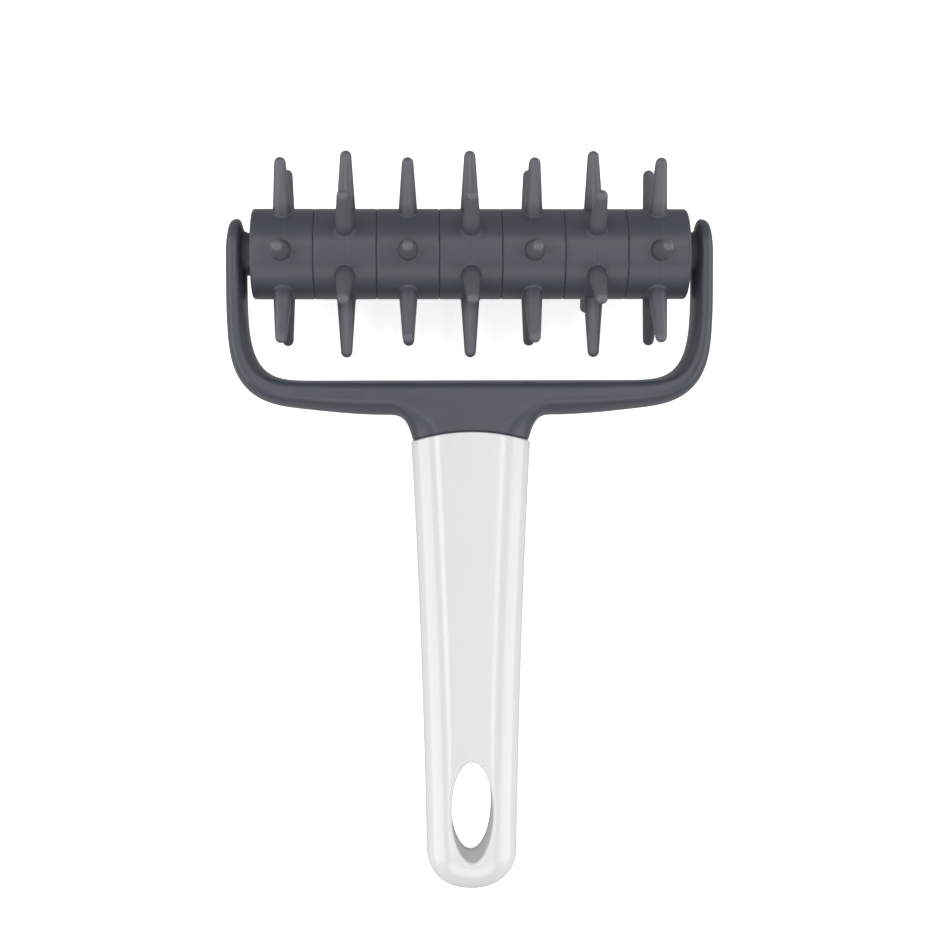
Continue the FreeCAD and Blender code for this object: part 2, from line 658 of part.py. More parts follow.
def handle():
    """Hollow grip: tapered front outline, thinner towards its end, with a hanging hole."""
    body = new_body("handle")
    top_width = "(sizes.handle_top_width / 2)"
    spring = f"({HANDLE_CROWN} + sizes.joint_radius - sqrt(sizes.joint_radius^2 - {top_width}^2))"
    corner_round, bow_round = f"({END_CORNER} * {HALF_END})", f"({END_BOW} * {HALF_END})"
    bow_centre = f"({HANDLE_END} - {bow_round})"
    aside = f"({HALF_END} - {corner_round})"
    corner_centre = f"({bow_centre} + sqrt(({bow_round} - {corner_round})^2 - {aside}^2))"
    side_length = f"({corner_centre} - {spring})"
    side_radius = f"({side_length}^2 / (8 * sizes.handle_side_hollow))"

    # Front outline: arched top, hollow sides that run into a round, slightly blunt end
    sketch = new_sketch(body, "grip_outline")
    wide, end_wide = number(top_width), number(HALF_END)
    high, low = -number(spring), -number(corner_centre)
    corners = [FreeCAD.Vector(x, y, 0) for x, y in (
        (-wide, high), (-end_wide, low), (end_wide, low), (wide, high))]
    bend = number(side_radius)
    half_bow = math.asin(number(f"{aside} / ({bow_round} - {corner_round})"))
    bottom = math.pi * 3 / 2

    def end_arc(x, y, radius, first, last):
        ring = Part.Circle(FreeCAD.Vector(x, y, 0), FreeCAD.Vector(0, 0, 1), number(radius))
        return Part.ArcOfCircle(ring, first, last)

    left, left_corner, end, right_corner, right, top = sketch.addGeometry([
        arc_between(corners[0], corners[1], bend, False),
        end_arc(-number(aside), low, corner_round, math.pi, bottom - half_bow),
        end_arc(0, -number(bow_centre), bow_round, bottom - half_bow, bottom + half_bow),
        end_arc(number(aside), low, corner_round, bottom + half_bow, 2 * math.pi),
        arc_between(corners[2], corners[3], bend, False),
        arc_between(corners[3], corners[0], number("sizes.joint_radius"), True),
    ])
    start, finish, centre = 1, 2, 3
    for first, first_end, second, second_end in (
        (left, start, left_corner, start),
        (left_corner, finish, end, start),
        (end, finish, right_corner, start),
        (right_corner, finish, right, finish),
    ):
        sketch.addConstraint(
            Sketcher.Constraint("Tangent", first, first_end, second, second_end)
        )
    sketch.addConstraint(Sketcher.Constraint("Coincident", right, start, top, start))
    sketch.addConstraint(Sketcher.Constraint("Coincident", left, finish, top, finish))
    bind_point(sketch, end, centre, "0", f"-{bow_centre}")
    bind(sketch, Sketcher.Constraint("Radius", end, number(bow_round)), bow_round)
    for corner, place in ((left_corner, f"-{aside}"), (right_corner, aside)):
        bind(sketch, Sketcher.Constraint("Radius", corner, number(corner_round)), corner_round)
        bind(sketch, Sketcher.Constraint("DistanceX", corner, centre, number(place)), place)
    bind_point(sketch, left, 2, f"-{top_width}", f"-{spring}")
    bind_point(sketch, right, 1, top_width, f"-{spring}")
    for side in (left, right):
        bind(sketch, Sketcher.Constraint("Radius", side, bend), side_radius)
    bind(sketch, Sketcher.Constraint("Radius", top, number("sizes.joint_radius")),
         "sizes.joint_radius")
    extrude(body, "Pad", "grip", sketch, "sizes.handle_top_thickness", symmetric=True)

    # Front and back lean in towards the end
    thick_top, thick_end = "(sizes.handle_top_thickness / 2)", "(sizes.handle_end_thickness / 2)"
    clear = f"(2 * {thick_top})"
    wedge_sketch = new_sketch(body, "thinning_outline", turn=("90", "0", "90"))
    outline(wedge_sketch, [
        (f"-{HANDLE_CROWN}", thick_top),
        (f"-{HANDLE_CROWN}", clear),
        (f"-{HANDLE_END}", clear),
        (f"-{HANDLE_END}", thick_end),
    ])
    wedge = extrude(body, "Pocket", "front_thinning", wedge_sketch,
                    "2 * sizes.handle_top_width", symmetric=True)
    thinned = body.newObject("PartDesign::Mirrored", "back_thinning")
    thinned.Originals = [wedge]
    thinned.MirrorPlane = (origin_feature(body, "XY_Plane"), [""])
    body.Tip = thinned
    doc.recompute()

    # Rounded edges all round the front and the back, but not at the joint
    joint_foot = -number(spring) - number("sizes.handle_edge_round")
    face_height = number(thick_end) / 2

    def on_face_edge(points):
        return points[1].y < joint_foot and all(abs(p.z) > face_height for p in points)

    fillet(body, "edge_rounds", thinned, "sizes.handle_edge_round", on_face_edge)

    # Hollow for the tang and to save material, open at the joint
    hollow = [
        cavity_section(body, f"hollow_section_{index}", down, "0")
        for index, down in enumerate((f"-{TANG_ROOT}", CAVITY_LENGTH), start=1)
    ]
    loft(body, "Subtractive", "hollow", hollow, ruled=True)

    # Oval hanging hole with rounded rims
    hole = new_sketch(body, "hole_outline")
    half_length, half_width = number("sizes.hole_length / 2"), number("sizes.hole_width / 2")
    middle = FreeCAD.Vector(0, -number(HOLE_MIDDLE), 0)
    tip = middle + FreeCAD.Vector(0, half_length, 0)
    side = middle + FreeCAD.Vector(-half_width, 0, 0)
    oval = hole.addGeometry(Part.Ellipse(tip, side, middle))
    hole.exposeInternalGeometry(oval)
    length_line, width_line = oval + 1, oval + 2
    hole.addConstraint(Sketcher.Constraint("Vertical", length_line))
    bind_point(hole, oval, 3, "0", f"-{HOLE_MIDDLE}")
    for line, cell in ((length_line, "sizes.hole_length"), (width_line, "sizes.hole_width")):
        bind(hole, Sketcher.Constraint("Distance", line, number(cell)), cell)
    cut = extrude(body, "Pocket", "hanging_hole", hole,
                  "2 * sizes.handle_top_thickness", symmetric=True)

    def on_rim(points):
        offsets = [((p.x - middle.x) / half_width, (p.y - middle.y) / half_length) for p in points]
        on_oval = all(abs(math.hypot(*offset) - 1) < CLOSE for offset in offsets)
        heights = [p.z for p in points]
        return on_oval and min(heights) * max(heights) > 0

    rims = fillet(body, "hole_rims", cut, "sizes.hole_edge_round", on_rim)

    # Broken outer edge at the joint
    arch_middle = number(HANDLE_CROWN) + number("sizes.joint_radius")
    wall_inside = number("sizes.handle_wall / 2")

    def on_mouth(points):
        reach = [math.hypot(p.x, p.y + arch_middle) for p in points]
        on_arch = all(abs(r / number("sizes.joint_radius") - 1) < CLOSE for r in reach)
        outer = any(
            abs(p.x) > wide - wall_inside or abs(p.z) > number(thick_top) - wall_inside
            for p in points
        )
        return on_arch and outer

    fillet(body, "mouth_round", rims, "sizes.mouth_round", on_mouth)
    return body


bodies = [yoke(), handle(), axle()]
for position in range(1, RING_COUNT + 1):
    end_side = {1: -1, RING_COUNT: 1}.get(position, 0)
    bodies.append(spiked_ring(f"ring_{position}", position, end_side))

doc.recompute()
faults = [
    obj.Name for obj in doc.Objects if "Invalid" in obj.State or "Error" in obj.State
]
faults += [body.Label for body in bodies if body.Shape.isNull() or not body.Shape.isValid()]
for body in bodies:
    print(body.Label, len(body.Shape.Solids), round(body.Shape.Volume, 1), body.Shape.BoundBox)
if faults:
    raise RuntimeError(f"not built: {faults}")
os.makedirs("parts", exist_ok=True)
for body in bodies:
    body.Shape.exportStep(f"parts/{body.Label}.step")
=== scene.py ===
import json
import math

import bmesh
import bpy
import numpy as np
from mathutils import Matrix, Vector


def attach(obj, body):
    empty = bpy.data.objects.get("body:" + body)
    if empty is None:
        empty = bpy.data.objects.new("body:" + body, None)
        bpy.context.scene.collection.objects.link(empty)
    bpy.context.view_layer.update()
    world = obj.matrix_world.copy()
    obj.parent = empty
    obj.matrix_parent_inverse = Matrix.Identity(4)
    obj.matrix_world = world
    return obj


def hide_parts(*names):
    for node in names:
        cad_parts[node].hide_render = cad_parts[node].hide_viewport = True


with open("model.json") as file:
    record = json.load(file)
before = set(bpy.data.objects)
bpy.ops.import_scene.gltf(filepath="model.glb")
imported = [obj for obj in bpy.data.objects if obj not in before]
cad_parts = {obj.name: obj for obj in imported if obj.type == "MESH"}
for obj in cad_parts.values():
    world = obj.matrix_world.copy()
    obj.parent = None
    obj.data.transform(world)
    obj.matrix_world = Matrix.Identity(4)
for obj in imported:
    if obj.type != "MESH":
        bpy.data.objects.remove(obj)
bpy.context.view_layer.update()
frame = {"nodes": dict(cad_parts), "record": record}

# Sizes in millimetres; "down" is measured from the axle towards the handle
MM = 0.001
JOIN_DISTANCE = 0.002     # points of a new piece that lie closer than this become one
NODE_JOIN_DISTANCE = 0.001
SHARP_ANGLE = 50          # in degrees; edges that bend more aren't smoothed

# Roller
RING_COUNT = 7
RING_WIDTH = 15.0
SPIKES = 6
BARREL_RADIUS = 10.9
SPIKE_CIRCLE_RADIUS = 25.0
SPIKE_ROOT_RADIUS = 2.25
SPIKE_TIP_RADIUS = 1.4
SPIKE_FILLET = 0.45
SEAM_ROUND = 0.35
END_ROUND = 0.7
RIM_INSIDE = 8.7
WEB_HALF = 1.5
HUB_RADIUS = 6.5
BORE_HALF = 4.1
BORE_CORNER = 5.2

# Arms and crossbar
ARM_INSIDE = 53.95
ARM_THICKNESS = 5.0
HEAD_RADIUS = 8.5
BAR_HALF_WIDTH = 8.4
BAR_THICKNESS = 8.4
BAR_INSIDE = 30.55
INNER_SHARE = 0.45        # of the thickness, between the inside and the edge of the lens section
ARM_EDGE = 0.45           # radius of the edge's round on the inner side, as a share of that
BAR_EDGE = 0.88
OUTER_EDGE = 0.70         # the same on the outer side, as a share of the rest
BAR_BLUNT = 0.09          # how far the crossbar's inner edges stand out beyond a true round
BEND_WIDTH = 19.0         # how far in from the arms the bend ends
BEND_POWER = 4.5          # 2 would make the bend a quarter of an ellipse
CORNER_FULLNESS = 0.5     # how much thicker the middle of the bend is
GROWTH_START = 0.25       # share of the way along arm and bar where the section starts to thicken
BOSS_FACE = 52.8
BOSS_RADIUS = 5.15
BOSS_FOOT_RADIUS = 8.2    # the boss flares to this on the arm's head
BOSS_EDGE = 0.2
BEARING_RADIUS = 3.05
HEAD_SAG = 1.65           # of the head's inner dome at the foot of the boss

# Neck and tang
NECK_REACH = 20.0         # half the length of crossbar that runs into the neck
NECK_CROWN = 42.5
NECK_HALF_WIDTH = 14.1
NECK_HALF_DEPTH = 8.6
NECK_ROUND = 6.7
NECK_TAPER = 0.244        # slope of its sides
NECK_FRONT_PULL = 9.0     # how far the neck's curves keep to the way they start and end
NECK_SIDE_PULL = 9.7      # the same for a start sideways, at the neck's left and right
NECK_FOOT_PULL = 6.0      # added there to the first, where the curves end
JOINT_GROOVE = 0.9        # depth of the dark groove between neck and grip, in front and behind
JOINT_STEP = 0.15         # and at the sides
JOINT_PLAY = 0.05
TANG_HALF_WIDTH = 12.0
TANG_HALF_DEPTH = 6.5
TANG_ROUND = 4.6
TANG_END_HALF_WIDTH = 10.33
TANG_END_HALF_DEPTH = 5.96
TANG_END = 81.0
TANG_WALL = 2.2

# Grip
GRIP_CROWN = 43.0
JOINT_RADIUS = 45.0
GRIP_TOP_HALF = 14.4
GRIP_END_HALF = 11.0
GRIP_END_CORNER = 9.35    # the end's outline: a round at each corner, a flatter bow between
GRIP_END_BOW = 14.85
GRIP_END = 155.0
SIDE_HOLLOW = 0.45
GRIP_TOP_DEPTH = 8.9
GRIP_END_DEPTH = 7.8
GRIP_ROUND = 7.0
GRIP_WALL = 2.3
MOUTH_ROUND = 0.4
HOLE_HALF_WIDTH = 5.05
HOLE_HALF_LENGTH = 12.3
HOLE_MIDDLE = 135.0
HOLE_ROUND = 0.8
GRIP_SPLIT = 117.0        # above this the grip is plain sections, below it closes round the hole
CAVITY_END = HOLE_MIDDLE - HOLE_HALF_LENGTH - GRIP_WALL

# The tool is drawn flat about the axle, then laid down: the record gives place and lean
axle_place = np.array(frame["record"]["behaviour"]["joints"][0]["pos_m"])
front = np.array(frame["record"]["mounts"][0]["axis"])
lean_cos, lean_sin = front[2], -front[1]


def laid_down(points):
    """Points of the flat tool, in mm from the axle's middle, as it lies on the table, in metres."""
    x, y, z = np.moveaxis(points, -1, 0)
    leaning = np.stack([x, y * lean_cos - z * lean_sin, y * lean_sin + z * lean_cos], -1)
    return leaning * MM + axle_place


def grid_faces(rows, columns, first, closed):
    """Quads of a grid of points that are numbered from first on.

    closed joins its last column to its first.
    """
    number = first + np.arange(rows * columns).reshape(rows, columns)
    if closed:
        number = np.concatenate([number, number[:, :1]], axis=1)
    corners = (number[:-1, :-1], number[:-1, 1:], number[1:, 1:], number[1:, :-1])
    return np.stack(corners, -1).reshape(-1, 4)


def piece(name, surfaces, material, body, node):
    """One closed mesh of several grids of flat-tool points, joined where their edges meet.

    surfaces are pairs of a grid (rows, columns, 3) and whether its columns close on themselves.
    """
    points, faces, first = [], [], 0
    for grid, closed in surfaces:
        rows, columns = grid.shape[:2]
        points.append(laid_down(grid).reshape(-1, 3))
        faces.append(grid_faces(rows, columns, first, closed))
        first += rows * columns
    mesh = bpy.data.meshes.new(name)
    mesh.from_pydata(np.concatenate(points).tolist(), [], np.concatenate(faces).tolist())
    shape = bmesh.new()
    shape.from_mesh(mesh)
    bmesh.ops.remove_doubles(shape, verts=shape.verts, dist=JOIN_DISTANCE * MM)
    bmesh.ops.recalc_face_normals(shape, faces=shape.faces)
    shape.to_mesh(mesh)
    shape.free()
    mesh.polygons.foreach_set("use_smooth", np.ones(len(mesh.polygons), bool))
    mesh.set_sharp_from_angle(angle=math.radians(SHARP_ANGLE))
    mesh.materials.append(material)
    made = bpy.data.objects.new(name, mesh)
    bpy.context.scene.collection.objects.link(made)
    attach(made, body)
    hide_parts(node)


def arc(steps, start=0.0, end=90.0):
    """Sines and cosines of even steps between two angles, in degrees."""
    angle = np.radians(np.linspace(start, end, steps + 1))
    return np.sin(angle), np.cos(angle)


# Steps of the grids: along a side of a ring's sector, in over the barrel, up the cone, and
# round the fillet, the tip and the barrel's own edge
SECTOR_STEPS = 14
BARREL_STEPS = 8
CONE_STEPS = 8
TIP_STEPS = 6
RIM_STEPS = 5


def spike_sector(low, high):
    """A sixth of a ring's outside: a piece of barrel that runs up into its spike.

    Each column starts on the edge of the piece of barrel, between low and high along the
    axle, runs in over the barrel to the fillet at the spike's foot, then up the cone and
    over the round tip; the columns go once round the spike. On the way up, the barrel's
    own curve fades out of the spike's height.
    """
    side = np.linspace(-1, 1, SECTOR_STEPS + 1)[:-1]
    one = np.ones_like(side)
    along = np.concatenate([side, one, -side, -one])
    along = np.where(along > 0, along * high, -along * low)
    round_axle = np.concatenate([-one, side, one, -side]) * math.pi / SPIKES
    turn = np.arctan2(BARREL_RADIUS * round_axle, along)
    foot = SPIKE_ROOT_RADIUS + SPIKE_FILLET

    share = np.linspace(0, 1, BARREL_STEPS + 1)[:-1, None]
    foot_angle = np.arcsin(foot * np.sin(turn) / BARREL_RADIUS)
    angle = round_axle + (foot_angle - round_axle) * share
    barrel = np.stack([
        along + (foot * np.cos(turn) - along) * share,
        BARREL_RADIUS * np.sin(angle),
        BARREL_RADIUS * np.cos(angle)], -1)

    sine, cosine = arc(TIP_STEPS)
    cone_height = SPIKE_CIRCLE_RADIUS - SPIKE_TIP_RADIUS - BARREL_RADIUS
    up = np.linspace(0, 1, CONE_STEPS + 1)[1:-1]
    radius = np.concatenate([
        foot - SPIKE_FILLET * sine,
        SPIKE_ROOT_RADIUS + (SPIKE_TIP_RADIUS - SPIKE_ROOT_RADIUS) * up,
        SPIKE_TIP_RADIUS * cosine])[:, None]
    height = np.concatenate([
        SPIKE_FILLET * (1 - cosine),
        SPIKE_FILLET + (cone_height - SPIKE_FILLET) * up,
        cone_height + SPIKE_TIP_RADIUS * sine])[:, None]
    across = radius * np.sin(turn)
    drop = BARREL_RADIUS - np.sqrt(BARREL_RADIUS**2 - across**2)
    fade = np.clip(1 - height / (cone_height / 2), 0, 1)
    spike = np.stack([
        radius * np.cos(turn), across, BARREL_RADIUS + height - fade * drop], -1)
    return np.concatenate([barrel, spike])


def ring_inside(low, high, ends):
    """All of a ring but its outside: a section turned round the axle, in to the square bore.

    ends gives the edge round at either end and whether that end is open, with a recess
    down to the web, or closed. The bore is the section's one part that isn't round.
    """
    angle = np.linspace(0, 2 * math.pi, SPIKES * SECTOR_STEPS, endpoint=False) - math.pi / SPIKES
    square = BORE_HALF / np.maximum(np.abs(np.cos(angle)), np.abs(np.sin(angle)))
    bore = np.minimum(square, BORE_CORNER)
    sine, cosine = arc(RIM_STEPS)
    sides = []
    for way, barrel_end, (edge, opened) in zip((1, -1), (high, low), ends):
        face = barrel_end + way * edge
        section = [(barrel_end + way * edge * s, BARREL_RADIUS - edge * (1 - c))
                   for s, c in zip(sine, cosine)]
        if opened:
            web = way * WEB_HALF
            section += [(face, RIM_INSIDE), (web, RIM_INSIDE), (web, HUB_RADIUS), (face, HUB_RADIUS)]
        along, radius = np.array(section)[:, :, None].transpose(1, 0, 2)
        wall = np.stack(np.broadcast_arrays(
            along, radius * np.sin(angle), radius * np.cos(angle)), -1)
        mouth = np.stack([np.full_like(bore, face), bore * np.sin(angle), bore * np.cos(angle)], -1)
        sides.append(np.concatenate([wall, mouth[None]]))
    return np.concatenate([sides[0], sides[1][::-1]])


def turned(grid, degrees, along):
    """Grid turned about the axle, then moved along it."""
    sine, cosine = math.sin(math.radians(degrees)), math.cos(math.radians(degrees))
    x, y, z = np.moveaxis(grid, -1, 0)
    return np.stack([x + along, y * cosine + z * sine, z * cosine - y * sine], -1)


def spiked_ring(position, material):
    """Ring number position from the left; each sits a quarter turn on from its neighbour."""
    rounds = [(SEAM_ROUND, True), (SEAM_ROUND, True)]
    if position == 1:
        rounds[1] = (END_ROUND, False)
    if position == RING_COUNT:
        rounds[0] = (END_ROUND, False)
    high = RING_WIDTH / 2 - rounds[0][0]
    low = rounds[1][0] - RING_WIDTH / 2
    middle = (position - (RING_COUNT + 1) / 2) * RING_WIDTH
    start = 90 * ((position + 1) % 2)
    sector = spike_sector(low, high)
    surfaces = [
        (turned(sector, start + 360 / SPIKES * spike, middle), True) for spike in range(SPIKES)]
    surfaces.append((turned(ring_inside(low, high, rounds), start, middle), True))
    node = f"ring_{position}"
    piece(f"spiked_ring_{position}", surfaces, material, "roller", node)


def joint_arch(x, crown):
    """The joint's line: an arch with its crown in the middle."""
    return crown + JOINT_RADIUS - np.sqrt(JOINT_RADIUS**2 - x**2)


def smooth(share):
    """0 to 1 with level ends."""
    share = np.clip(share, 0, 1)
    return share**2 * (3 - 2 * share)


# Steps of the grids: round a lens section's dome and edge, along bend and bar, round a head,
# over a boss's lip and flare, and round the boss
DOME_STEPS, NOSE_STEPS = 10, 5
PATH_STEPS, BEND_STEPS, BAR_STEPS = 600, 60, 14
HEAD_STEPS, LIP_STEPS, BOSS_STEPS = 24, 8, 72
FRONT_CREST = DOME_STEPS + NOSE_STEPS
OUTER_CROWN, BACK_CREST = 2 * FRONT_CREST, 3 * FRONT_CREST


def lens_quarter(bulge, edge, half_width, blunt=0.0):
    """A lens section from crown to crest: a dome's arc that runs into the round of the edge.

    The round's radius grows by the share blunt towards its middle, and back again.
    """
    up = half_width - edge
    radius = (bulge**2 + up**2 - edge**2) / (2 * (bulge - edge))
    meet = np.arctan2(up, radius - bulge)
    dome = meet * np.linspace(0, 1, DOME_STEPS + 1)
    share = np.linspace(0, 1, NOSE_STEPS + 1)[1:]
    nose = meet + (math.pi / 2 - meet) * share
    reach = edge * (1 + blunt * np.sin(math.pi * share) ** 2)
    out = np.concatenate([bulge - radius + radius * np.cos(dome), reach * np.cos(nose)], -1)
    wide = np.concatenate([radius * np.sin(dome), up + reach * np.sin(nose)], -1)
    return out, wide


def lens(thick, edge, half_width, blunt):
    """Lens sections, one a row: inner crown, front crest, outer crown, back crest.

    Gives how far each point lies out from the inner crown and to the front of the middle.
    """
    middle = INNER_SHARE * thick
    inner, inner_wide = lens_quarter(middle, edge * middle, half_width, blunt)
    outer, outer_wide = lens_quarter(thick - middle, OUTER_EDGE * (thick - middle), half_width)
    out = np.concatenate([
        middle - inner, middle + outer[:, -2::-1], middle + outer[:, 1:], middle - inner[:, -2:0:-1]], 1)
    wide = np.concatenate([
        inner_wide, outer_wide[:, -2::-1], -outer_wide[:, 1:], -inner_wide[:, -2:0:-1]], 1)
    return out, wide


def arm_and_bar():
    """Right arm, bend and crossbar: lens sections along a path from the head to the neck.

    The path is the inside of the U: a quarter of a squared-off ellipse for arm and bend, then
    straight. The section thickens from the arm through the bend to the crossbar.
    """
    turn = np.linspace(0, math.pi / 2, PATH_STEPS)
    across, along = np.cos(turn) ** (2 / BEND_POWER), np.sin(turn) ** (2 / BEND_POWER)
    x = ARM_INSIDE - BEND_WIDTH + BEND_WIDTH * across
    down = BAR_INSIDE * along
    way = np.arctan2(along ** (BEND_POWER - 1) / BAR_INSIDE, across ** (BEND_POWER - 1) / BEND_WIDTH)
    travelled = np.concatenate([[0], np.cumsum(np.hypot(np.diff(x), np.diff(down)))])
    pace = travelled / travelled[-1] + way / way[-1]
    even = np.linspace(0, 2, BEND_STEPS + 1)
    straight = np.linspace(ARM_INSIDE - BEND_WIDTH, NECK_REACH, BAR_STEPS + 1)[1:]
    level, level_way = np.full_like(straight, BAR_INSIDE), np.full_like(straight, way[-1])
    x, down, way = (
        np.concatenate([np.interp(even, pace, bend), bar])[:, None]
        for bend, bar in ((x, straight), (down, level), (way, level_way)))
    travelled = np.concatenate([[0], np.cumsum(np.hypot(np.diff(x[:, 0]), np.diff(down[:, 0])))])
    share = (travelled / travelled[-1])[:, None]
    bent = way / way[-1]
    grown = smooth((share - GROWTH_START) / (1 - GROWTH_START))
    out, wide = lens(
        ARM_THICKNESS + (BAR_THICKNESS - ARM_THICKNESS) * grown + CORNER_FULLNESS * np.sin(2 * way),
        ARM_EDGE + (BAR_EDGE - ARM_EDGE) * bent,
        HEAD_RADIUS + (BAR_HALF_WIDTH - HEAD_RADIUS) * bent,
        BAR_BLUNT * bent)
    return np.stack([x + out * np.cos(way), -down - out * np.sin(way), wide], -1)


def arm_head(section):
    """Round end of an arm: the front half of its first section turned half round the axle."""
    x, _, wide = section[:OUTER_CROWN + 1].T
    sine, cosine = arc(HEAD_STEPS, 0, 180)
    return np.stack([
        np.broadcast_to(x, (len(sine), len(x))), sine[:, None] * wide, cosine[:, None] * wide], -1)


def boss():
    """Right bearing boss: a ring section with a rounded lip and a flared foot, turned round the axle."""
    sine, cosine = arc(LIP_STEPS)
    lip_x, lip_r = BOSS_FACE + BOSS_EDGE * (1 - sine), BOSS_RADIUS - BOSS_EDGE * (1 - cosine)
    foot = ARM_INSIDE + HEAD_SAG
    flare_x = foot - (foot - BOSS_FACE - 2 * BOSS_EDGE) * (1 - sine)
    flare_r = BOSS_RADIUS + (BOSS_FOOT_RADIUS - BOSS_RADIUS) * (1 - cosine)
    sunk = foot + 2 * BOSS_EDGE
    x = np.concatenate([[BOSS_FACE], lip_x[::-1], flare_x, [sunk, sunk]])
    radius = np.concatenate([[BEARING_RADIUS], lip_r[::-1], flare_r, [flare_r[-1], BEARING_RADIUS]])
    turn = np.linspace(0, 2 * math.pi, BOSS_STEPS, endpoint=False)[:, None]
    ring = np.stack(np.broadcast_arrays(x, radius * np.sin(turn), radius * np.cos(turn)), -1)
    return np.concatenate([ring, ring[:1]])


# Steps of the grids: along the front of a neck section, round the half of a corner that belongs
# to it, along each third of a side with its halves of the corners, and from crossbar to foot
FLAT_STEPS, CORNER_STEPS, SIDE_STEPS, FOOT_STEPS = 24, 8, 10, 30
NECK_STEPS = FLAT_STEPS + 2 * CORNER_STEPS

# Half a turn round a neck or tang section, from the left of its front to the right of its back:
# the share of the flats that a point lies along, in width and depth, and the way it faces
half_width_share = np.concatenate([
    -np.ones(CORNER_STEPS), np.linspace(-1, 1, FLAT_STEPS + 1),
    np.ones(CORNER_STEPS - 1 + 3 * SIDE_STEPS)])
half_depth_share = np.concatenate([
    np.ones(NECK_STEPS + SIDE_STEPS), np.linspace(1, -1, SIDE_STEPS + 1), -np.ones(SIDE_STEPS - 1)])
half_way = np.radians(np.concatenate([
    np.linspace(135, 90, CORNER_STEPS + 1)[:-1], np.full(FLAT_STEPS + 1, 90),
    np.linspace(90, 45, CORNER_STEPS + 1)[1:-1], np.linspace(45, 0, SIDE_STEPS + 1)[:-1],
    np.zeros(SIDE_STEPS + 1), np.linspace(0, -45, SIDE_STEPS + 1)[1:-1]]))


def both_halves(half):
    """A half turn of points, and the same turned half round the tool's middle line."""
    return np.concatenate([half, half * np.array([-1, 1, -1])])


def neck_loop(half_width, half_depth, radius, crown=None, down=None):
    """Rounded rectangle across neck or tang, on the joint's arch with a given crown or level."""
    x = half_width_share * (half_width - radius) + radius * np.cos(half_way)
    z = half_depth_share * (half_depth - radius) + radius * np.sin(half_way)
    level = np.full_like(x, down) if crown is None else joint_arch(x, crown)
    return both_halves(np.stack([x, -level, z], -1))


def neck(section):
    """Neck and tang. section is the crossbar's own, at the right end of what runs into the neck.

    Each column leaves the crossbar along its surface, from the crests in front and behind and
    from the outer half of the section at either end, and bends smoothly into the neck's foot
    along a cubic curve; from there it goes in over the joint's groove and down the tang.
    """
    along = np.linspace(-NECK_REACH, NECK_REACH, NECK_STEPS + 1)[:-1]
    crest, side = section[FRONT_CREST], section[FRONT_CREST:BACK_CREST]
    start = np.concatenate([np.stack(np.broadcast_arrays(along, crest[1], crest[2]), -1), side])
    run = np.gradient(section, axis=0)[FRONT_CREST:BACK_CREST]
    run /= np.linalg.norm(run, axis=1)[:, None]
    run = np.concatenate([np.broadcast_to((0.0, -1.0, 0.0), (NECK_STEPS, 3)), run])
    outer = np.linspace(-1, 1, len(side) + 1)[:-1]
    aside = np.concatenate([math.pi / 4 * (along / NECK_REACH) ** 3, math.pi / 2 + math.pi / 4 * outer])
    leave = NECK_FRONT_PULL * np.cos(aside)[:, None] * run
    leave[:, 0] -= NECK_SIDE_PULL * np.sin(aside)
    start, leave = both_halves(start), both_halves(leave)

    foot = neck_loop(NECK_HALF_WIDTH, NECK_HALF_DEPTH, NECK_ROUND, crown=NECK_CROWN)
    pull = NECK_FRONT_PULL + NECK_FOOT_PULL * np.sin(np.concatenate([aside, aside])) ** 2
    arrive = pull[:, None] * np.stack(np.broadcast_arrays(
        -NECK_TAPER * foot[:, 0] / NECK_HALF_WIDTH, -1.0, 0.0), -1)
    share = np.linspace(0, 1, FOOT_STEPS + 1)[:, None, None]
    bend = (
        (1 - smooth(share)) * start + smooth(share) * foot
        + share * (1 - share)**2 * leave - share**2 * (1 - share) * arrive)
    core = (TANG_END_HALF_WIDTH - TANG_WALL, TANG_END_HALF_DEPTH - TANG_WALL, TANG_ROUND - TANG_WALL)
    groove = (NECK_HALF_WIDTH - JOINT_STEP, NECK_HALF_DEPTH - JOINT_GROOVE, NECK_ROUND - JOINT_STEP)
    face = GRIP_CROWN - JOINT_PLAY
    tang = [
        neck_loop(*groove, crown=NECK_CROWN),
        neck_loop(*groove, crown=face),
        neck_loop(TANG_HALF_WIDTH, TANG_HALF_DEPTH, TANG_ROUND, crown=face),
        neck_loop(TANG_END_HALF_WIDTH, TANG_END_HALF_DEPTH, TANG_ROUND, down=TANG_END),
        neck_loop(*core, down=TANG_END),
        neck_loop(*core, down=NECK_CROWN + TANG_WALL)]
    floor_middle = np.broadcast_to(tang[-1].mean(axis=0), foot.shape)
    return np.concatenate([bend, np.stack([*tang, floor_middle])])


def yoke(material):
    """Grey bow with its heads, bosses, neck and tang."""
    mirror = np.array([-1, 1, 1])
    half = arm_and_bar()
    section = half[-1]
    x = np.linspace(NECK_REACH, -NECK_REACH, NECK_STEPS + 1)[:, None]
    inner = np.concatenate([section[BACK_CREST:], section[:FRONT_CREST + 1]])
    middle = np.stack(np.broadcast_arrays(x, inner[:, 1], inner[:, 2]), -1)
    surfaces = [(middle, False), (neck(section), True)]
    for way in (np.ones(3), mirror):
        surfaces += [(half * way, True), (arm_head(half[0]) * way, False), (boss() * way, True)]
    piece("bow_and_neck", surfaces, material, "frame", "yoke")


# Places on the outline of the grip's end, and the spring of the joint's arch at its sides
CORNER_ASIDE = GRIP_END_HALF - GRIP_END_CORNER
BOW_DOWN = GRIP_END - GRIP_END_BOW
CORNER_DOWN = BOW_DOWN + math.sqrt((GRIP_END_BOW - GRIP_END_CORNER)**2 - CORNER_ASIDE**2)
GRIP_SPRING = joint_arch(GRIP_TOP_HALF, GRIP_CROWN)


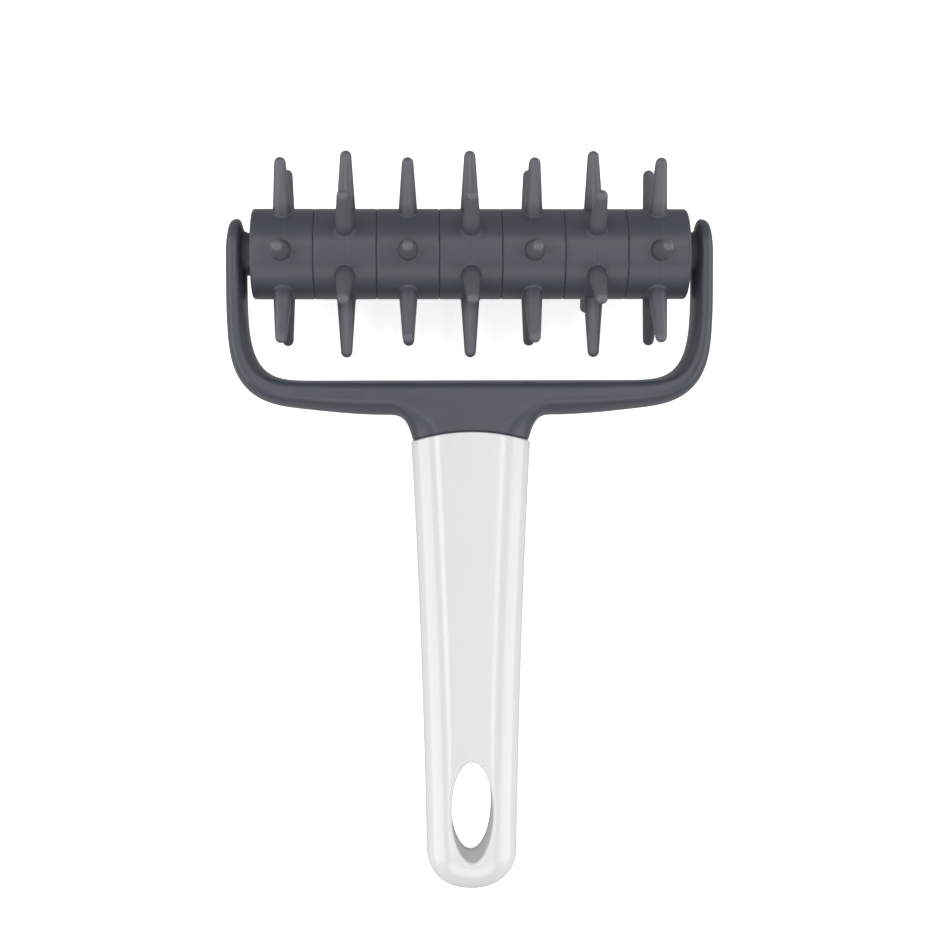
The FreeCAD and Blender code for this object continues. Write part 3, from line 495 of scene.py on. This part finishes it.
def grip_half_width(down):
    """Half width of the grip: straight taper less a shallow hollow."""
    share = (CORNER_DOWN - down) / (CORNER_DOWN - GRIP_SPRING)
    straight = GRIP_END_HALF + (GRIP_TOP_HALF - GRIP_END_HALF) * share
    return straight - 4 * SIDE_HOLLOW * share * (1 - share)


def grip_depth(down):
    """Half thickness of the grip, thinner towards its end."""
    share = (down - GRIP_CROWN) / (GRIP_END - GRIP_CROWN)
    return GRIP_TOP_DEPTH + (GRIP_END_DEPTH - GRIP_TOP_DEPTH) * share


def grip_front(x, down):
    """Height of the grip's front: flat, with a quarter round along the whole outline."""
    to_side = grip_half_width(down) - np.abs(x)
    to_corner = GRIP_END_CORNER - np.hypot(np.abs(x) - CORNER_ASIDE, down - CORNER_DOWN)
    to_bow = GRIP_END_BOW - np.hypot(x, down - BOW_DOWN)
    in_bow = np.abs(x) * (CORNER_DOWN - BOW_DOWN) < CORNER_ASIDE * (down - BOW_DOWN)
    inside = np.where(down < CORNER_DOWN, to_side, np.where(in_bow, to_bow, to_corner))
    rise = np.clip(GRIP_ROUND - inside, 0, GRIP_ROUND)
    return grip_depth(down) - GRIP_ROUND + np.sqrt(GRIP_ROUND**2 - rise**2)


def rolled_edge(distance, radius):
    """How far a rolled edge has dropped at a distance from where it ends."""
    left = np.clip(radius - distance, 0, radius)
    return radius - np.sqrt(radius**2 - left**2)


# One turn round the grip's section, from the left of its front: the share of the flats that
# a point lies along, in width and depth, and the way it faces
GRIP_ROUND_STEPS, GRIP_FLAT_STEPS = 10, 16
sine, cosine = arc(GRIP_ROUND_STEPS)
flat = np.linspace(-1, 1, GRIP_FLAT_STEPS + 1)
quarter, zero = np.ones(len(sine)), np.zeros(len(flat))
front_width = np.concatenate([-quarter[1:], flat, quarter[1:]])
front_way_x = np.concatenate([-cosine[:-1], zero, sine[1:]])
front_way_z = np.concatenate([sine[:-1], zero + 1, cosine[1:]])
FRONT_COUNT = len(front_width)
section_width = np.concatenate([front_width, [1], front_width[::-1], [-1]])
section_depth = np.concatenate([np.ones(FRONT_COUNT), [0], -np.ones(FRONT_COUNT), [0]])
section_way_x = np.concatenate([front_way_x, [1], front_way_x[::-1], [-1]])
section_way_z = np.concatenate([front_way_z, [0], -front_way_z[::-1], [0]])


def grip_sections(share, inset):
    """Sections from the joint's arch, share 0, to the level split, share 1, drawn in by an inset."""
    share, inset = share[:, None], inset[:, None]
    side_down = GRIP_SPRING + (GRIP_SPLIT - GRIP_SPRING) * share
    reach = GRIP_ROUND - inset
    x = section_width * (grip_half_width(side_down) - GRIP_ROUND) + reach * section_way_x
    down = joint_arch(x, GRIP_CROWN) * (1 - share) + GRIP_SPLIT * share
    z = section_depth * (grip_depth(down) - GRIP_ROUND) + reach * section_way_z
    return np.stack([x, -down, z], -1)


# Steps of the grids: down a side of the end, round its corner, half across its bow, over the
# hole's rim, from there to the outline, down the hole's wall, over the mouth's edge, down
# the outside and down the hollow
END_SIDE_STEPS, END_CORNER_STEPS, END_BOW_STEPS = 10, 14, 7
HOLE_RIM_STEPS, HOLE_FACE_STEPS, HOLE_WALL_STEPS = 6, 18, 5
MOUTH_STEPS, OUTSIDE_STEPS, HOLLOW_STEPS = 5, 45, 11


def grip_hole_end():
    """Front of the grip's lower end: from the hole's rim out to the grip's outline.

    The columns go once round the hole. Each rolls out of the hole over its rounded rim, then
    runs straight to its point of the outline or of the level split above; the height is
    the front's own, less what the rim has dropped. Returns this and the outline's points.
    """
    width = grip_half_width(GRIP_SPLIT)
    level = front_width * (width - GRIP_ROUND) + GRIP_ROUND * front_way_x
    side_down = np.linspace(GRIP_SPLIT, CORNER_DOWN, END_SIDE_STEPS + 1)[:-1]
    bow_start = math.degrees(math.atan2(CORNER_DOWN - BOW_DOWN, CORNER_ASIDE))
    corner_sine, corner_cosine = arc(END_CORNER_STEPS, 0, bow_start)
    bow_sine, bow_cosine = arc(END_BOW_STEPS, bow_start, 90)
    half_x = np.concatenate([
        grip_half_width(side_down),
        CORNER_ASIDE + GRIP_END_CORNER * corner_cosine,
        GRIP_END_BOW * bow_cosine[1:]])
    half_down = np.concatenate([
        side_down,
        CORNER_DOWN + GRIP_END_CORNER * corner_sine,
        BOW_DOWN + GRIP_END_BOW * bow_sine[1:]])
    outline_x = np.concatenate([half_x, -half_x[-2::-1]])
    outline_down = np.concatenate([half_down, half_down[-2::-1]])
    edge_x = np.concatenate([level, outline_x[1:-1]])
    edge_down = np.concatenate([np.full_like(level, GRIP_SPLIT), outline_down[1:-1]])

    turn = np.arctan2((edge_down - HOLE_MIDDLE) / HOLE_HALF_LENGTH, edge_x / HOLE_HALF_WIDTH)
    hole_x = HOLE_HALF_WIDTH * np.cos(turn)
    hole_down = HOLE_MIDDLE + HOLE_HALF_LENGTH * np.sin(turn)
    way_x, way_down = HOLE_HALF_LENGTH * np.cos(turn), HOLE_HALF_WIDTH * np.sin(turn)
    length = np.hypot(way_x, way_down)
    away = (HOLE_ROUND * (1 - arc(HOLE_RIM_STEPS)[1]))[:, None]
    rim_x, rim_down = hole_x + away * way_x / length, hole_down + away * way_down / length
    share = arc(HOLE_FACE_STEPS)[0][1:, None]
    x = np.concatenate([rim_x, rim_x[-1] + (edge_x - rim_x[-1]) * share])
    down = np.concatenate([rim_down, rim_down[-1] + (edge_down - rim_down[-1]) * share])
    dropped = np.concatenate([
        np.broadcast_to(rolled_edge(away, HOLE_ROUND), rim_x.shape),
        np.zeros((len(share), len(edge_x)))])
    front_face = np.stack([x, -down, grip_front(x, down) - dropped], -1)
    side_height = grip_depth(outline_down) - GRIP_ROUND
    outline = np.stack([outline_x, -outline_down, side_height], -1)
    return front_face, outline


def grip(material):
    """The white handle: sections, a lower end with its hole, and the hollow that the tang fills."""
    length = GRIP_SPLIT - GRIP_SPRING
    roll = MOUTH_ROUND * (1 - arc(MOUTH_STEPS)[1])
    share = np.concatenate([roll / length, np.linspace(0, 1, OUTSIDE_STEPS + 1)[1:]])
    outside = grip_sections(share, rolled_edge(share * length, MOUTH_ROUND))
    mouth = grip_sections(np.zeros(2), np.array([MOUTH_ROUND, GRIP_WALL]))
    hollow_share = np.linspace(0, (CAVITY_END - GRIP_SPRING) / length, HOLLOW_STEPS + 1)
    hollow = grip_sections(hollow_share, np.full_like(hollow_share, GRIP_WALL))
    hollow_end = np.stack([hollow[-1], np.broadcast_to(hollow[-1].mean(axis=0), hollow[-1].shape)])

    front_face, outline = grip_hole_end()
    flip = np.array([1, 1, -1])
    side = np.broadcast_to(outline, (3, *outline.shape)).copy()
    side[:, :, 2] *= np.array([1, 0, -1])[:, None]
    rim = front_face[0]
    wall = np.broadcast_to(rim, (HOLE_WALL_STEPS + 1, *rim.shape)).copy()
    wall[:, :, 2] *= np.linspace(1, -1, HOLE_WALL_STEPS + 1)[:, None]
    surfaces = [
        (outside, True), (mouth, True), (hollow, True), (hollow_end, True),
        (front_face, True), (front_face * flip, True), (side, False), (wall, True)]
    piece("grip", surfaces, material, "frame", "handle")


class Shade:
    """A socket of a material's node tree; arithmetic on it adds Math nodes."""

    def __init__(self, tree, socket):
        self.tree = tree
        self.socket = socket

    def node(self, kind, settings=None, inputs=None, output=0):
        """Any node: its settings are set first, then its sockets' values or links."""
        made = self.tree.nodes.new(kind)
        for name, value in (settings or {}).items():
            setattr(made, name, value)
        for name, value in (inputs or {}).items():
            if isinstance(value, Shade):
                self.tree.links.new(value.socket, made.inputs[name])
            else:
                made.inputs[name].default_value = value
        return Shade(self.tree, made.outputs[output])

    def math(self, operation, *values):
        """A Math node on values or sockets."""
        return self.node("ShaderNodeMath", {"operation": operation}, dict(enumerate(values)))

    def vector(self, operation, *values, output=0):
        """A Vector Math node; output 1 is for operations that give a number."""
        settings = {"operation": operation}
        return self.node("ShaderNodeVectorMath", settings, dict(enumerate(values)), output)

    def __add__(self, other):
        return self.math("ADD", self, other)

    def __radd__(self, other):
        return self.math("ADD", other, self)

    def __sub__(self, other):
        return self.math("SUBTRACT", self, other)

    def __rsub__(self, other):
        return self.math("SUBTRACT", other, self)

    def __mul__(self, other):
        return self.math("MULTIPLY", self, other)

    def __rmul__(self, other):
        return self.math("MULTIPLY", other, self)

    def __abs__(self):
        return self.math("ABSOLUTE", self)

    def noise(self, scale, detail=2.0):
        """Noise of about 0 to 1 on this vector; scale in cycles per metre."""
        return self.node("ShaderNodeTexNoise", {}, {"Vector": self, "Scale": scale, "Detail": detail})

    def ramp(self, low, high):
        """0 below low, 1 above high, smooth between."""
        settings = {"interpolation_type": "SMOOTHSTEP"}
        inputs = {"Value": self, "From Min": low, "From Max": high}
        return self.node("ShaderNodeMapRange", settings, inputs)

    def blend(self, low, high):
        """Colour between two colours by this value."""
        return self.node("ShaderNodeMix", {"data_type": "RGBA"}, {0: self, 6: low, 7: high}, 2)

    def along(self, direction, place):
        """How far this point lies from a place, along a direction."""
        offset = self.vector("SUBTRACT", self, place)
        return self.vector("DOT_PRODUCT", offset, direction, output=1)

    def bump(self, height, distance, strength, normal=None):
        """Normal of a surface raised by a height of 0 to 1 times a distance, over another normal."""
        inputs = {"Height": height, "Distance": distance, "Strength": strength}
        if normal is not None:
            inputs["Normal"] = normal
        return self.node("ShaderNodeBump", {}, inputs)


# Finishes: the two ends of each tone
GREY = (0.0500, 0.0565, 0.0700, 1.0), (0.0635, 0.0715, 0.0875, 1.0)
# painted light: the spikes' lighter grey stands in for the light that they catch more than the barrel
SPIKE_PAINTED_LIGHT_GREY = (0.100, 0.107, 0.122, 1.0), (0.115, 0.123, 0.139, 1.0)
# painted light on the grip's sides, painted shade on its front and back
SIDE_PAINTED_LIGHT_WHITE = (0.85, 0.85, 0.855, 1.0), (0.88, 0.88, 0.88, 1.0)
FRONT_PAINTED_SHADE_WHITE = (0.635, 0.635, 0.64, 1.0), (0.665, 0.665, 0.665, 1.0)
FLOOR_WHITE = (0.86, 0.86, 0.86, 1.0), (0.88, 0.88, 0.88, 1.0)

# Scales of the textures in cycles per metre, and how strongly their bumps show
GRAIN_SCALE, FLOW_SCALE = 5200.0, 130.0
WAVE_SCALE, SPECK_SCALE = 45.0, 900.0
FLOOR_SCALE = 3.0
GRAIN_STRENGTH, WAVE_STRENGTH = 0.35, 0.12
GREY_FLASH_STRENGTH, WHITE_FLASH_STRENGTH = 0.12, 0.5

# Sizes of the finishes in millimetres
GRAIN_DEPTH, WAVE_DEPTH = 0.05, 0.25
FLASH_HEIGHT = 0.03       # of the parting lines
GREY_LINE = (0.03, 0.09)  # distances from its face where a parting line starts and ends to fade
WHITE_LINE = (0.03, 0.10)
FRONT_PAINTED_SHADE_HEIGHTS = (2.0, 8.0)   # heights between which the grip goes over to the painted shade of its front
SPIKE_PAINTED_LIGHT_RADIUS = 1.4 * BARREL_RADIUS  # the spikes' painted light is full from here outwards


def new_material(name):
    """Empty material, its shader node and its Object coordinates."""
    material = bpy.data.materials.new(name)
    material.use_nodes = True
    tree = material.node_tree
    place = Shade(tree, None).node("ShaderNodeTexCoord", output=3)
    return material, tree.nodes["Principled BSDF"], place


def feed(shader, **values):
    """Sets or links sockets of the shader by name, with _ for a space."""
    for name, value in values.items():
        socket = shader.inputs[name.replace("_", " ")]
        if isinstance(value, Shade):
            value.tree.links.new(value.socket, socket)
        else:
            socket.default_value = value


def parting_line(distance, fade):
    """1 on a parting face, 0 where the distance from it has passed the fade's end."""
    start, end = fade
    return 1.0 - abs(distance).ramp(start * MM, end * MM)


def moulded_grey(name, parting, painted_light=None):
    """Matte grey plastic: fine spark-eroded grain, faint flow mottling, flash on the parting line.

    parting turns the Object coordinates into the distance from the mould's parting face; painted_light
    turns them into 0 to 1 where the grey is painted lighter, as painted light on the spikes.
    """
    material, shader, place = new_material(name)
    grain = place.noise(GRAIN_SCALE)
    flow = place.noise(FLOW_SCALE, 3.0)
    tone = 0.3 * grain + 0.7 * flow
    line = parting_line(parting(place), GREY_LINE)
    colour = tone.blend(*GREY)
    if painted_light:
        # painted light: the spikes get a lighter grey than the barrel
        colour = painted_light(place).blend(colour, tone.blend(*SPIKE_PAINTED_LIGHT_GREY))
    rough = place.bump(grain, GRAIN_DEPTH * MM, GRAIN_STRENGTH)
    normal = place.bump(line, FLASH_HEIGHT * MM, GREY_FLASH_STRENGTH, rough)
    feed(shader, Base_Color=colour, Roughness=0.25 + 0.10 * tone - 0.04 * line, Normal=normal,
         Specular_IOR_Level=0.4)
    return material


def gloss_white():
    """Glossy white plastic: faint sink waves and a fine parting line along its sides.

    Front and back are painted darker than the sides: painted shade there, painted light on the sides.
    """
    material, shader, place = new_material("gloss_white")
    waves = place.noise(WAVE_SCALE)
    speck = place.noise(SPECK_SCALE)
    height = abs(place.along(front, axle_place))
    line = parting_line(height, WHITE_LINE)
    tone = 0.6 * waves + 0.4 * speck
    side_height, front_height = FRONT_PAINTED_SHADE_HEIGHTS
    # painted shade on front and back, painted light on the sides
    colour = height.ramp(side_height * MM, front_height * MM).blend(
        tone.blend(*SIDE_PAINTED_LIGHT_WHITE), tone.blend(*FRONT_PAINTED_SHADE_WHITE))
    wavy = place.bump(waves, WAVE_DEPTH * MM, WAVE_STRENGTH)
    normal = place.bump(line, FLASH_HEIGHT * MM, WHITE_FLASH_STRENGTH, wavy)
    feed(shader, Base_Color=colour, Roughness=0.16 + 0.05 * waves + 0.04 * speck, Normal=normal,
         Specular_IOR_Level=1.0)
    return material


def ring_parting(place):
    """Each ring's mould parts through its spikes, at the middle of its width."""
    x = place.along((1.0, 0.0, 0.0), (0.0, 0.0, 0.0))
    return x.math("WRAP", x, RING_WIDTH / 2 * MM, -RING_WIDTH / 2 * MM)


def spike_painted_light(place):
    """Painted light on the spikes: 0 on the barrel, 1 towards the tips, by the distance from the axle.
    """
    offset = place.vector("SUBTRACT", place, axle_place)
    across = place.vector("MULTIPLY", offset, (0.0, 1.0, 1.0))
    reach = place.vector("LENGTH", across, output=1)
    return reach.ramp(BARREL_RADIUS * MM, SPIKE_PAINTED_LIGHT_RADIUS * MM)


def yoke_parting(place):
    """The yoke's mould parts along the flat tool's own plane."""
    return place.along(front, axle_place)


def dress(name, material):
    """CAD node as it is, its loose triangles welded and smoothly shaded."""
    node = frame["nodes"][name]
    node.data.materials.clear()
    node.data.materials.append(material)
    node.data.polygons.foreach_set("use_smooth", np.ones(len(node.data.polygons), bool))
    node.modifiers.new("weld", "WELD").merge_threshold = NODE_JOIN_DISTANCE * MM
    node.modifiers.new("normals", "WEIGHTED_NORMAL").keep_sharp = True


ring_grey = moulded_grey("ring_grey", ring_parting, spike_painted_light)
yoke_grey = moulded_grey("yoke_grey", yoke_parting)
for position in range(1, RING_COUNT + 1):
    spiked_ring(position, ring_grey)
grip(gloss_white())
yoke(yoke_grey)
dress("axle", yoke_grey)


FLOOR_HALF = 60.0         # in metres, so that its edge stays near the horizon


def floor():
    """Pale table that also glows a little, so that shadows stay faint.

    Its light and its mirror image don't reach the object, which would lose its dark edges.
    """
    material, shader, place = new_material("pale_floor")
    tone = place.noise(FLOOR_SCALE).blend(*FLOOR_WHITE)
    feed(shader, Base_Color=tone, Roughness=0.9, Emission_Color=(1.0, 1.0, 1.0, 1.0),
         Emission_Strength=0.64)
    mesh = bpy.data.meshes.new("floor")
    corners = [(x * FLOOR_HALF, y * FLOOR_HALF, 0) for x, y in ((-1, -1), (1, -1), (1, 1), (-1, 1))]
    mesh.from_pydata(corners, [], [(0, 1, 2, 3)])
    mesh.materials.append(material)
    made = bpy.data.objects.new("floor", mesh)
    made.visible_diffuse = False
    made.visible_glossy = False
    bpy.context.scene.collection.objects.link(made)


# Place, size and power of each light. The first figure of a size runs along y for those at
# the left and right, and along x for the other two
SOFTBOXES = {
    "left_softbox": ((-0.70, 0.0, 0.22), (1.2, 0.7), 4.1),
    "right_softbox": ((0.70, 0.0, 0.22), (1.2, 0.7), 4.1),
    "left_strip": ((-0.25, 0.0, 0.87), (0.9, 0.22), 1.6),
    "right_strip": ((0.17, 0.0, 0.88), (0.9, 0.18), 1.25),
    "top_softbox": ((0.0, 0.45, 0.80), (0.9, 0.35), 1.1),
    "front_softbox": ((0.0, -0.75, 0.55), (0.9, 0.6), 2.5),
}


def softbox(name, place, size, power):
    """Rectangular area light at a place, facing the object."""
    data = bpy.data.lights.new(name, "AREA")
    data.shape = "RECTANGLE"
    data.size, data.size_y = size
    data.energy = power
    made = bpy.data.objects.new(name, data)
    made.location = place
    made.rotation_euler = (-Vector(place)).to_track_quat("-Z", "Y").to_euler()
    bpy.context.scene.collection.objects.link(made)


def studio():
    """Even white surroundings and the softboxes."""
    world = bpy.data.worlds.new("studio")
    world.use_nodes = True
    background = world.node_tree.nodes["Background"]
    background.inputs["Color"].default_value = (1.0, 1.0, 1.0, 1.0)
    background.inputs["Strength"].default_value = 0.35
    bpy.context.scene.world = world
    for name, (place, size, power) in SOFTBOXES.items():
        softbox(name, place, size, power)
    bpy.context.scene.view_settings.view_transform = "Standard"


def camera():
    """The photo's viewpoint, almost straight above."""
    data = bpy.data.cameras.new("camera")
    data.sensor_width = 36.0
    data.lens = 68.567
    data.clip_start, data.clip_end = 0.01, 200.0
    made = bpy.data.objects.new("camera", data)
    made.location = (-0.013105, -0.021206, 0.456905)
    made.rotation_euler = (0.0754, -0.0308, -0.0061)
    bpy.context.scene.collection.objects.link(made)
    bpy.context.scene.camera = made


floor()
studio()
camera()
